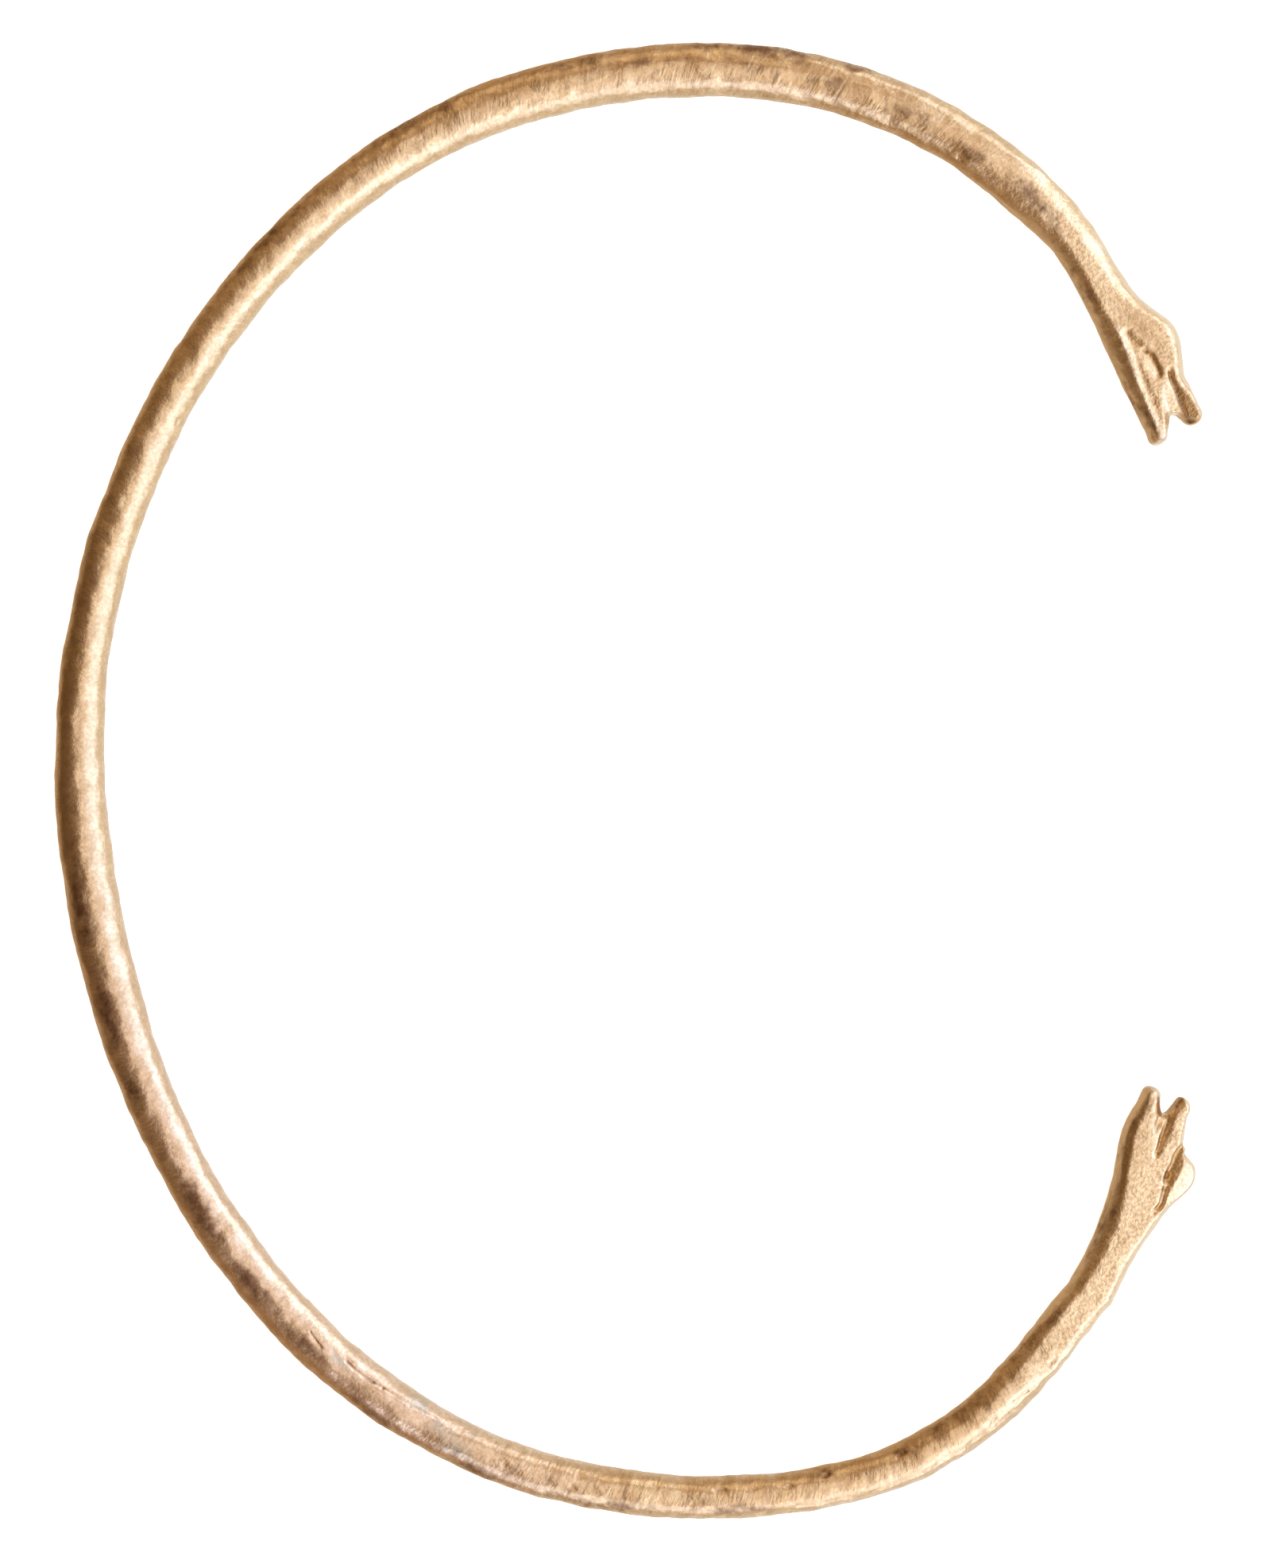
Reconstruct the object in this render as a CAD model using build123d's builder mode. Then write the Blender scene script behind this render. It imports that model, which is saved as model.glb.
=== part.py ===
from build123d import *
from collections import namedtuple
import os

os.makedirs("parts", exist_ok=True)

# Cast bronze cuff bracelet: one C-shaped bar whose two ends are animal heads with
# open mouths, lying on its side. +X runs from the back of the hoop to the gap
# between the heads, +Y from the lower head to the upper one, +Z up from the table.

# The hoop, measured inside where the wrist goes, and its bar
INNER_LENGTH = 63.4
BACK_REACH = 28.0
BAR_WIDTH = 2.3
BAR_HEIGHT = 2.4

# The heads, each a flat-sided plate as thick as the bar, with bevelled rims
HEAD_LENGTH = 10.0
HEAD_DEPTH = 3.8
NECK_WIDTH = 2.15
THROAT_BEVEL = 0.55
BROW_BEVEL = 0.25
BEVEL_HEIGHT = 0.5

# The mouths are cut in from both sides down to a web, the slits less deep
WEB_THICKNESS = 0.6
SLIT_WIDTH = 0.45
SLIT_DEPTH = 0.35

# A slit's floor is this share of its outline, and a bar's corner bulges to a quarter
# round when its middle lies ROUND_INSET of its size in from the vertex
SLIT_FLOOR = 0.45
FLAT_INSET = 0.5
ROUND_INSET = 1 - 0.5 ** 0.5

# Middle line of the bar, from the upper head's neck round the back to the lower
# head's: along X as a share of the reach, along Y as a share of half the length
RoutePoint = namedtuple("RoutePoint", "reach length")
ROUTE = [
    RoutePoint(0.567, 0.763),
    RoutePoint(0.524, 0.806),
    RoutePoint(0.453, 0.861),
    RoutePoint(0.286, 0.949),
    RoutePoint(0.000, 1.000),
    RoutePoint(-0.290, 0.963),
    RoutePoint(-0.552, 0.850),
    RoutePoint(-0.808, 0.603),
    RoutePoint(-0.961, 0.311),
    RoutePoint(-1.000, 0.000),
    RoutePoint(-0.943, -0.305),
    RoutePoint(-0.799, -0.596),
    RoutePoint(-0.549, -0.844),
    RoutePoint(-0.291, -0.964),
    RoutePoint(0.000, -1.000),
    RoutePoint(0.233, -0.976),
    RoutePoint(0.376, -0.916),
    RoutePoint(0.520, -0.799),
    RoutePoint(0.595, -0.714),
]

# Directions in which the bar leaves the upper neck and reaches the lower one
UPPER_HEADING = (-0.55, 0.83)
LOWER_HEADING = (0.45, 0.89)

# Sections of the bar: place along the middle line, width and height as shares of the
# bar's, size of the outer and inner corners as shares of half the width, height of the
# corners as a share of half the height, and how round they are from flat to quarter round
Section = namedtuple("Section", "place width height outer inner corner_height roundness")
SECTIONS = [
    Section(0.02, 1.04, 1.00, 0.30, 0.56, 0.48, 0.30),
    Section(0.05, 1.07, 1.00, 0.45, 0.62, 0.58, 0.60),
    Section(0.09, 1.09, 1.00, 0.58, 0.68, 0.68, 0.90),
    Section(0.16, 1.09, 0.98, 0.66, 0.70, 0.72, 1.00),
    Section(0.23, 1.05, 0.97, 0.70, 0.72, 0.74, 1.00),
    Section(0.30, 0.96, 0.96, 0.72, 0.74, 0.76, 1.00),
    Section(0.38, 0.95, 0.97, 0.70, 0.72, 0.74, 0.90),
    Section(0.46, 0.97, 0.99, 0.68, 0.70, 0.70, 0.80),
    Section(0.53, 1.08, 1.00, 0.66, 0.68, 0.68, 0.80),
    Section(0.62, 0.98, 0.99, 0.70, 0.70, 0.72, 0.90),
    Section(0.70, 1.00, 0.97, 0.72, 0.72, 0.74, 1.00),
    Section(0.79, 0.90, 0.96, 0.74, 0.74, 0.76, 1.00),
    Section(0.86, 0.86, 0.97, 0.72, 0.72, 0.74, 1.00),
    Section(0.92, 0.90, 0.99, 0.60, 0.68, 0.66, 0.80),
    Section(0.97, 0.95, 1.00, 0.34, 0.58, 0.50, 0.40),
]

# The heads' outlines and cuts. Each point is (along, out): its distance from the neck
# as a share of the head's length, and its distance outward from the neck's middle as a
# share of the head's depth. The rim is the outline at half the height, the face is the
# flat side within it, and the floor is the bottom of the mouth on the web.
Outline = namedtuple("Outline", "brow snout upper_tip notch lower_lip lower_tip throat")
Head = namedtuple("Head", "rim face mouth floor slits")
UPPER_HEAD = Head(
    rim=Outline(
        brow=[(0.26, 0.255), (0.46, 0.325), (0.58, 0.430), (0.70, 0.360), (0.805, 0.208)],
        snout=(0.965, 0.145),
        upper_tip=[(1.025, 0.020), (0.985, -0.110)],
        notch=[(0.940, -0.140), (0.928, -0.185), (0.942, -0.240)],
        lower_lip=(1.000, -0.380),
        lower_tip=[(1.014, -0.455), (0.975, -0.575)],
        throat=[(0.73, -0.498), (0.46, -0.382), (0.16, -0.290)],
    ),
    face=Outline(
        brow=[(0.26, 0.190), (0.45, 0.240), (0.57, 0.345), (0.69, 0.280), (0.800, 0.160)],
        snout=(0.955, 0.105),
        upper_tip=[(1.005, 0.010), (0.978, -0.090)],
        notch=[(0.936, -0.120), (0.920, -0.185), (0.938, -0.262)],
        lower_lip=(0.990, -0.400),
        lower_tip=[(0.999, -0.440), (0.970, -0.490)],
        throat=[(0.74, -0.400), (0.47, -0.215), (0.25, -0.200)],
    ),
    mouth=[(0.750, 0.015), (1.060, 0.090), (1.040, -0.400)],
    floor=[(0.815, -0.060), (1.060, -0.130), (1.040, -0.330)],
    slits=[((0.600, -0.055), (0.750, -0.085))],
)
LOWER_HEAD = Head(
    rim=Outline(
        brow=[(0.20, 0.268), (0.40, 0.325), (0.55, 0.410), (0.645, 0.500), (0.735, 0.430),
              (0.795, 0.182)],
        snout=(0.930, 0.070),
        upper_tip=[(0.995, -0.015), (0.990, -0.115)],
        notch=[(0.900, -0.155), (0.880, -0.185), (0.896, -0.245)],
        lower_lip=(0.965, -0.340),
        lower_tip=[(0.980, -0.440), (0.940, -0.545)],
        throat=[(0.78, -0.555), (0.56, -0.420), (0.34, -0.305), (0.16, -0.268)],
    ),
    face=Outline(
        brow=[(0.20, 0.210), (0.40, 0.260), (0.54, 0.340), (0.640, 0.420), (0.715, 0.350),
              (0.785, 0.130)],
        snout=(0.920, 0.040),
        upper_tip=[(0.980, -0.025), (0.980, -0.095)],
        notch=[(0.896, -0.135), (0.872, -0.185), (0.892, -0.262)],
        lower_lip=(0.955, -0.355),
        lower_tip=[(0.966, -0.430), (0.932, -0.480)],
        throat=[(0.80, -0.440), (0.54, -0.255), (0.40, -0.160), (0.20, -0.115)],
    ),
    mouth=[(0.695, -0.090), (1.030, -0.025), (1.020, -0.360)],
    floor=[(0.760, -0.130), (1.030, -0.140), (1.020, -0.290)],
    slits=[((0.790, 0.160), (0.600, 0.180)), ((0.650, 0.195), (0.450, 0.230))],
)

# Directions in which the brow line meets the snout and the throat line leaves its tip
BROW_END = (1, -0.5)
THROAT_START = (-1, 0.2)

centreline_reach = BACK_REACH + BAR_WIDTH / 2
centreline_half = (INNER_LENGTH + BAR_WIDTH) / 2
mouth_depth = (BAR_HEIGHT - WEB_THICKNESS) / 2


def bar_section(width, height, outer, inner, corner_height, roundness):
    """Edges of the bar's section: x outward from the middle line, y across it."""
    inset = FLAT_INSET + (ROUND_INSET - FLAT_INSET) * roundness
    corners = []
    for side, end, across in ((1, -1, outer), (1, 1, outer), (-1, 1, inner), (-1, -1, inner)):
        x, y = side * width / 2, end * height / 2
        on_side = (x, y - end * corner_height)
        on_end = (x - side * across, y)
        middle = (x - side * across * inset, y - end * corner_height * inset)
        if side == end:
            corners.append((on_side, middle, on_end))
        else:
            corners.append((on_end, middle, on_side))
    with BuildLine() as outline:
        for corner, following in zip(corners, corners[1:] + corners[:1]):
            if roundness:
                ThreePointArc(*corner)
            else:
                Line(corner[0], corner[2])
            Line(corner[2], following[0])
    return outline.line.edges()


def head_points(points):
    """Turn shares of the head's length and depth into sizes."""
    return [(along * HEAD_LENGTH, out * HEAD_DEPTH) for along, out in points]


def head_outline(shape, neck_outer, neck_inner):
    """Edges of one outline of a head, from the neck over the brow and back by the throat."""
    brow = head_points(shape.brow)
    snout, lower_lip = head_points([shape.snout, shape.lower_lip])
    upper_tip = head_points(shape.upper_tip)
    notch = head_points(shape.notch)
    lower_tip = head_points(shape.lower_tip)
    throat = head_points(shape.throat)
    with BuildLine() as outline:
        Spline((0, neck_outer), *brow, tangents=[(1, 0), BROW_END])
        Line(brow[-1], snout)
        ThreePointArc(snout, *upper_tip)
        Line(upper_tip[-1], notch[0])
        ThreePointArc(*notch)
        Line(notch[-1], lower_lip)
        ThreePointArc(lower_lip, *lower_tip)
        Spline(lower_tip[-1], *throat, (0, neck_inner), tangents=[THROAT_START, (-1, 0)])
        Line((0, neck_inner), (0, neck_outer))
    return outline.line.edges()


def slit_corners(start, end, share):
    """Corners of a pointed slit between two points, shrunk about its middle."""
    first, last = Vector(*start), Vector(*end)
    middle = (first + last) / 2
    half_length = (last - first) / 2
    half_width = half_length.normalized().rotate(Axis.Z, 90) * SLIT_WIDTH / 2
    spokes = (half_length, half_width, -half_length, -half_width)
    return [middle + spoke * share for spoke in spokes]


def make_head(shape):
    """One head, lying in the XY plane with its muzzle along +X and its brow to +Y."""
    side = NECK_WIDTH / 2
    rim = (shape.rim, side, -side)
    face = (shape.face, side - BROW_BEVEL, THROAT_BEVEL - side)
    levels = (
        (0, face),
        (BEVEL_HEIGHT, rim),
        (BAR_HEIGHT - BEVEL_HEIGHT, rim),
        (BAR_HEIGHT, face),
    )
    with BuildPart() as head:
        for height, outline in levels:
            with BuildSketch(Plane.XY.offset(height)):
                make_face(head_outline(*outline))
        loft(ruled=True)
        for flat_side, inward in ((Plane.XY, 1), (Plane.XY.offset(BAR_HEIGHT), -1)):
            with BuildSketch(flat_side):
                Polygon(*head_points(shape.mouth), align=None)
            with BuildSketch(flat_side.offset(inward * mouth_depth)):
                Polygon(*head_points(shape.floor), align=None)
            loft(ruled=True, mode=Mode.SUBTRACT)
            for slit in shape.slits:
                ends = head_points(slit)
                with BuildSketch(flat_side):
                    Polygon(*slit_corners(*ends, 1), align=None)
                with BuildSketch(flat_side.offset(inward * SLIT_DEPTH)):
                    Polygon(*slit_corners(*ends, SLIT_FLOOR), align=None)
                loft(ruled=True, mode=Mode.SUBTRACT)
    return head.part


upper_head = make_head(UPPER_HEAD)
lower_head = make_head(LOWER_HEAD)

# The middle line of the bar, drawn on the table below it
with BuildLine() as route:
    middle_line = Spline(
        *[(point.reach * centreline_reach, point.length * centreline_half) for point in ROUTE],
        tangents=[UPPER_HEADING, LOWER_HEADING],
        tangent_scalars=[1, 1],
    )

# The bar's sections stand across its middle line, and its ends match the heads' necks
neck = (NECK_WIDTH, BAR_HEIGHT, BROW_BEVEL, THROAT_BEVEL, BEVEL_HEIGHT, 0)
stations = [(0, neck)]
for row in SECTIONS:
    width = row.width * BAR_WIDTH
    height = row.height * BAR_HEIGHT
    outer = row.outer * width / 2
    inner = row.inner * width / 2
    corner_height = row.corner_height * height / 2
    stations.append((row.place, (width, height, outer, inner, corner_height, row.roundness)))
stations.append((1, neck))

with BuildPart() as cuff:
    for place, sizes in stations:
        heading = middle_line % place
        centre = middle_line @ place + Vector(0, 0, BAR_HEIGHT / 2)
        outward = heading.cross(Vector(0, 0, 1))
        with BuildSketch(Plane(centre, x_dir=outward, z_dir=-heading)):
            make_face(bar_section(*sizes))
    loft()
    with Locations(Plane(middle_line @ 0, x_dir=-(middle_line % 0), z_dir=(0, 0, 1))):
        add(upper_head)
    lower_neck = middle_line @ 1 + Vector(0, 0, BAR_HEIGHT)
    with Locations(Plane(lower_neck, x_dir=middle_line % 1, z_dir=(0, 0, -1))):
        add(lower_head)

# The origin lies on the table under the middle of the whole bracelet
middle = cuff.part.bounding_box().center()
with BuildPart() as bracelet:
    with Locations((-middle.X, -middle.Y, 0)):
        add(cuff.part)

bracelet.part.label = "bracelet"
export_step(bracelet.part, "parts/bracelet.step")

size = bracelet.part.bounding_box().size
print(f"length of the bar's middle line {middle_line.length:.1f} mm")
print(f"overall {size.X:.2f} x {size.Y:.2f} x {size.Z:.2f} mm, volume {bracelet.part.volume:.1f} mm3")
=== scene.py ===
from collections import namedtuple

import bmesh
import bpy
import numpy as np
from bpy.props import FloatProperty, FloatVectorProperty, IntProperty, PointerProperty
from mathutils import Matrix, Vector, geometry, kdtree, noise


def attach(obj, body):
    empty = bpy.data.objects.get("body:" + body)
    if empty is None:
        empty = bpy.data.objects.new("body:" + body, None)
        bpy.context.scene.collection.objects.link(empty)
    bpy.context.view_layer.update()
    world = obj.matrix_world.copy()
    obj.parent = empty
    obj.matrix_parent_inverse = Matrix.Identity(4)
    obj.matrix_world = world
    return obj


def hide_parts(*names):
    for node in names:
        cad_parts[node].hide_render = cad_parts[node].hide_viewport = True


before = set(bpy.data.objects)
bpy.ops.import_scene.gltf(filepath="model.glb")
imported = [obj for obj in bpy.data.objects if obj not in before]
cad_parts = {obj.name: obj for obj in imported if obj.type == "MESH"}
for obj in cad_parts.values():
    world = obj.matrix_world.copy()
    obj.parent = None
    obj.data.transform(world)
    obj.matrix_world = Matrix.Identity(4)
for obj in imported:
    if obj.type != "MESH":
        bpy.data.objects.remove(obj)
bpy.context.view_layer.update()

bl_info = {
    "name": "Cast bronze cuff bracelet",
    "version": (1, 0, 0),
    "blender": (4, 5, 0),
    "location": "View3D > Sidebar > Bracelet",
    "description": "Works the cast and filed surface of an animal head cuff over its CAD solid",
    "category": "Object",
}

MM = 0.001

# Middle line of the bar, in millimetres of the part's frame: from the upper head's neck
# round the back to the lower head's, as shares of the hoop's reach and half length
HOOP_CENTRE = (3.94, -0.11)
HOOP_REACH = 29.15
HOOP_HALF_LENGTH = 32.85
ROUTE = [
    (0.567, 0.763), (0.524, 0.806), (0.453, 0.861), (0.286, 0.949), (0.000, 1.000),
    (-0.290, 0.963), (-0.552, 0.850), (-0.808, 0.603), (-0.961, 0.311), (-1.000, 0.000),
    (-0.943, -0.305), (-0.799, -0.596), (-0.549, -0.844), (-0.291, -0.964), (0.000, -1.000),
    (0.233, -0.976), (0.376, -0.916), (0.520, -0.799), (0.595, -0.714),
]
UPPER_MUZZLE = Vector((0.552, -0.834, 0))
LOWER_MUZZLE = Vector((0.451, 0.892, 0))
HEAD_REACH, HEAD_BREADTH = 11.0, 4.0
HALF_HEIGHT = 1.2
POINTS_PER_HEAD, POINTS_PER_SPAN = 110, 80

# Marks on the heads' flat sides and on the bar. Every point is (along, out) in millimetres:
# out is away from the wrist, and along runs from the neck to the muzzle on a head, and
# from the upper neck round to the lower one on the bar. A fill is a block's outline. A
# channel with a depth below 0 stands up. The depth of a bright edge is how much it is
# brightened, partly as wear and partly as painted light. The dark of a facet or channel is
# how much painted shade browns its hollow
Facet = namedtuple("Facet", "high low depth soft dark")
Channel = namedtuple("Channel", "line width depth dark", defaults=(0.0,))
Rim = namedtuple("Rim", "along width drop start_slope")
Head = namedtuple("Head", "fills facets channels worn_edges inner_rim outer_rim")
TipFade = namedtuple("TipFade", "share start end")
Stain = namedtuple("Stain", "along out reach breadth amount")
Lamp = namedtuple("Lamp", "name place size share colour")

UPPER_HEAD = Head(
    fills=[
        [(5.8, -0.40), (7.7, -0.55), (7.7, -0.08), (5.8, 0.05)],
        [(7.2, 0.05), (7.6, 0.34), (10.0, 0.34), (10.1, 0.05), (9.8, -0.33), (9.42, -0.45),
         (9.24, -0.70), (9.38, -0.95), (9.60, -1.20), (9.20, -1.20), (8.1, -0.65), (7.4, -0.35)],
    ],
    # The last number of each facet and channel here, its dark, is painted shade in its hollow
    facets=[
        Facet([(7.60, 0.34), (8.28, 0.26), (8.79, 0.34), (9.33, 0.40), (9.79, 0.42),
               (10.20, 0.36)],
              [(7.58, 0.20), (7.91, 0.08), (8.50, -0.06), (8.99, -0.20), (9.59, -0.28),
               (10.10, -0.22)], 0.22, 0.10, 0.85),
        Facet([(7.60, 0.12), (7.80, -0.20), (8.10, -0.54)],
              [(10.10, -0.22), (9.60, -0.60), (9.50, -1.05)], 0.24, 0.12, 0.0),
        Facet([(5.90, -0.55), (6.90, -0.75), (7.50, -0.60)],
              [(6.10, -0.16), (6.40, -0.07), (7.05, -0.12), (7.42, -0.22)], 0.13, 0.16, 0.0),
    ],
    channels=[
        Channel([(6.15, -0.20), (6.40, -0.10), (7.08, -0.14), (7.42, -0.24)], 0.30, 0.03, 0.52),
        Channel([(6.10, -0.26), (6.24, -0.18)], 0.26, 0.08, 0.66),
        Channel([(6.45, 0.04), (6.95, 0.00)], 0.75, 0.03, 0.14),
        Channel([(7.45, 0.30), (7.75, 0.18)], 0.26, 0.06, 0.40),
        Channel([(5.00, -0.42), (5.40, -0.38), (5.85, -0.30)], 0.55, 0.07, 0.30),
        Channel([(5.00, -0.45), (6.20, -0.70), (7.20, -1.00), (8.20, -1.20), (9.30, -1.38)],
                0.60, 0.06),
    ],
    # Bright edges: wear along the rims, and on the wide last line painted light over the neck and
    # brow
    worn_edges=[
        Channel([(4.60, -0.66), (5.30, -0.80), (6.13, -1.00), (6.90, -1.22), (7.77, -1.42),
                 (8.44, -1.50), (9.29, -1.62), (10.00, -1.66)], 0.34, 0.9),
        Channel([(7.95, -0.40), (8.78, -0.72), (9.30, -0.86), (9.95, -1.22)], 0.24, 0.6),
        Channel([(1.00, 1.10), (4.00, 1.35), (5.20, 1.75), (6.20, 2.00), (7.40, 1.70),
                 (8.20, 1.20)], 1.5, 1.0),
    ],
    inner_rim=Rim([-6, 0.8, 3.5, 5, 6.2, 7.2, 9, 9.9],
                  [0.6, 0.6, 0.56, 0.74, 0.70, 0.58, 0.48, 0.2], 0.95, 0.56),
    outer_rim=Rim([-6, 0.7, 3, 5, 8.5, 10], [0.85, 0.85, 0.72, 0.52, 0.42, 0.3], 0.75, 0.50),
)
LOWER_HEAD = Head(
    fills=[
        [(7.95, 0.35), (7.95, 0.90), (4.40, 1.15), (4.40, 0.55)],
        [(6.80, -0.12), (9.80, -0.08), (9.80, -0.42), (9.05, -0.54), (8.84, -0.70), (8.95, -0.95),
         (9.25, -1.10), (9.40, -1.40), (7.80, -1.05), (7.80, -0.70), (6.80, -0.40)],
    ],
    # The last number of each facet and channel here, its dark, is painted shade in its hollow
    facets=[
        Facet([(7.00, -0.23), (7.80, -0.14), (8.31, -0.14), (8.94, -0.20), (9.43, -0.24),
               (9.95, -0.28)],
              [(7.00, -0.26), (7.41, -0.32), (7.88, -0.42), (8.45, -0.50), (8.98, -0.58),
               (9.75, -0.52)], 0.32, 0.12, 0.58),
        Facet([(9.52, -1.30), (9.12, -1.18), (8.62, -1.05), (8.16, -0.95), (7.94, -0.89)],
              [(9.35, -1.06), (9.09, -0.92), (8.75, -0.86), (8.49, -0.82), (8.12, -0.83)],
              0.22, 0.20, 0.34),
        Facet([(7.10, -0.30), (7.40, -0.62), (7.80, -0.86)],
              [(9.00, -0.55), (8.95, -0.75), (9.05, -0.98)], 0.28, 0.12, 0.0),
        Facet([(7.95, 1.15), (7.54, 1.22), (7.09, 1.26), (6.58, 1.24), (6.00, 1.15)],
              [(7.95, 0.62), (7.74, 0.55), (7.42, 0.52), (6.88, 0.58), (6.52, 0.57), (6.12, 0.65)],
              0.28, 0.13, 0.55),
        Facet([(6.05, 0.98), (5.58, 1.06), (5.07, 1.16), (4.80, 1.12)],
              [(5.95, 0.76), (5.72, 0.80), (5.35, 0.88), (5.07, 0.93), (4.78, 0.88)],
              0.20, 0.11, 0.42),
        Facet([(7.95, 0.85), (7.00, 1.00), (6.00, 1.05), (4.90, 1.15)],
              [(8.10, 1.00), (7.55, 1.80), (6.75, 2.10), (5.80, 2.00), (4.60, 1.45)],
              0.48, 0.10, 0.0),
    ],
    channels=[
        Channel([(5.00, 0.90), (4.80, 0.80), (4.60, 0.84)], 0.24, 0.10, 0.45),
        Channel([(6.52, 0.62), (6.32, 0.64)], 0.30, 0.16, 0.66),
        Channel([(5.64, 0.50), (5.74, 0.66), (5.80, 0.86)], 0.18, 0.10, 0.60),
        Channel([(7.85, 0.20), (7.85, 0.30)], 0.20, 0.08, 0.30),
        Channel([(9.45, -0.40), (9.95, -0.32)], 0.34, 0.24, 0.85),
        Channel([(8.30, -0.78), (8.50, -0.76)], 0.40, 0.05, 0.35),
        Channel([(3.60, 0.10), (3.55, 0.20)], 0.22, 0.06, 0.40),
    ],
    # Bright edges: wear along the jaw and lip, and on the wide last line painted light over the
    # brow
    worn_edges=[
        Channel([(7.90, -0.85), (8.62, -1.02), (9.12, -1.14), (9.52, -1.26)], 0.14, 0.7),
        Channel([(6.90, -0.36), (7.41, -0.40), (7.88, -0.50), (8.45, -0.58), (8.90, -0.64)],
                0.24, 0.8),
        Channel([(2.00, 1.20), (4.60, 1.40), (5.60, 1.80), (6.60, 2.00), (7.60, 1.70)], 1.3, 0.55),
    ],
    inner_rim=Rim([-6, 0, 2, 3.35, 4.3, 6, 8.2, 9.1, 9.8],
                  [0.60, 0.60, 0.72, 0.78, 0.71, 0.58, 0.50, 0.36, 0.2], 0.95, 0.42),
    outer_rim=Rim([-6, 0, 4, 5, 8, 9, 10],
                  [0.6, 0.42, 0.28, 0.2, 0.15, 0.22, 0.25], 0.6, 0.50),
)
SCARS = [
    Channel([(98.2, -0.36), (98.7, -0.33), (99.4, -0.40), (100.3, -0.50)], 0.24, 0.06),
    Channel([(99.2, -0.30), (99.8, -0.44)], 0.18, 0.048),
    Channel([(100.3, -0.50), (101.3, -0.55), (102.0, -0.60), (103.2, -0.70)], 0.14, 0.03),
    Channel([(96.0, -0.20), (96.5, -0.08), (96.9, -0.04)], 0.18, 0.042),
    Channel([(97.5, -0.24), (97.9, -0.14)], 0.40, 0.03),
    Channel([(116.8, -0.44), (117.25, -0.44)], 0.30, 0.06),
    Channel([(120.1, -0.42), (120.4, -0.44)], 0.26, 0.042),
    Channel([(122.0, -0.66), (122.15, -0.66)], 0.34, 0.066),
    Channel([(125.6, -0.62), (125.95, -0.64)], 0.32, 0.066),
    Channel([(106.9, 0.00), (107.0, -0.02)], 0.26, 0.03),
    Channel([(110.2, 0.14), (110.4, 0.14)], 0.26, 0.03),
    Channel([(50.3, -0.80), (50.5, -0.82)], 0.26, 0.054),
    Channel([(74.8, -1.10), (75.0, -1.12)], 0.24, 0.048),
    Channel([(79.95, -0.66), (80.05, -0.66)], 0.20, 0.042),
    Channel([(6.3, -0.86), (6.5, -0.86)], 0.26, 0.048),
    Channel([(92.1, -0.95), (92.3, -0.97)], 0.24, 0.048),
    Channel([(131.4, 0.40), (131.9, 0.50), (132.3, 0.60)], 0.16, 0.036),
    Channel([(133.9, 0.42), (134.2, 0.44)], 0.36, 0.036),
    Channel([(127.0, 0.98), (127.8, 1.00)], 0.24, 0.048),
    Channel([(129.2, 0.90), (129.6, 0.84)], 0.24, 0.048),
    Channel([(130.0, 0.64), (130.4, 0.46)], 0.26, 0.048),
    Channel([(136.4, 0.56), (137.0, 0.76)], 0.30, 0.036),
    Channel([(120.5, 0.66), (122.3, 0.70), (123.9, 0.72), (125.8, 0.62), (127.4, 0.70)],
            0.20, -0.035),
    Channel([(127.4, 0.70), (129.6, 0.86), (131.5, 0.95)], 0.22, -0.04),
    Channel([(131.5, 0.72), (133.9, 0.80), (136.4, 0.66), (137.7, 0.80)], 0.26, -0.04),
    Channel([(8.0, 0.35), (14.0, 0.55), (19.0, 0.50)], 0.70, 0.035),
]
STAINS = [
    Stain(16.8, 1.00, 3.6, 0.45, 0.55), Stain(12.6, 1.10, 1.2, 0.35, 0.55),
    Stain(9.4, -0.20, 1.6, 0.40, 0.42), Stain(5.8, -0.35, 1.6, 0.40, 0.42),
    Stain(22.0, 0.45, 3.2, 0.40, 0.36), Stain(17.6, 0.30, 2.6, 0.42, 0.34),
    Stain(13.2, 0.05, 2.2, 0.42, 0.36), Stain(27.0, 0.40, 2.6, 0.36, 0.30),
    Stain(2.5, -0.20, 2.0, 0.45, 0.60), Stain(0.9, -0.35, 0.9, 0.30, 0.60),
    Stain(25.0, 0.75, 3.4, 0.35, 0.42), Stain(33.0, 0.80, 3.2, 0.40, 0.48),
    Stain(41.0, 0.80, 3.4, 0.35, 0.45), Stain(73.5, 0.45, 2.6, 0.40, 0.55),
    Stain(78.4, 0.40, 2.4, 0.38, 0.60), Stain(82.2, 0.50, 1.6, 0.36, 0.50),
    Stain(88.4, 0.20, 2.6, 0.46, 0.66), Stain(92.6, 0.34, 2.2, 0.42, 0.66),
    Stain(96.0, 0.45, 1.8, 0.38, 0.52), Stain(100.4, 0.70, 2.2, 0.34, 0.45),
    Stain(105.8, 0.70, 2.0, 0.32, 0.42), Stain(112.0, 0.65, 3.2, 0.32, 0.42),
    Stain(118.0, 0.50, 2.4, 0.34, 0.42), Stain(122.0, -0.70, 0.8, 0.35, 0.45),
    Stain(125.8, -0.65, 0.8, 0.30, 0.50), Stain(129.0, -0.70, 3.0, 0.34, 0.42),
    Stain(-2.0, -0.95, 3.0, 0.34, 0.32), Stain(-7.4, -1.80, 3.0, 0.34, 0.36),
    Stain(134.5, -0.85, 3.0, 0.34, 0.32), Stain(140.5, -0.95, 3.0, 0.34, 0.32),
    Stain(145.8, -1.70, 2.6, 0.34, 0.32),
]
GREY_STAINS = [
    Stain(102.4, -0.80, 0.8, 0.40, 0.8), Stain(103.6, -0.35, 0.9, 0.35, 0.7),
    Stain(104.6, 0.20, 0.8, 0.50, 0.6), Stain(98.0, -0.10, 0.7, 0.22, 0.7),
    Stain(104.8, -0.75, 0.6, 0.30, 0.5),
]
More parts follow.
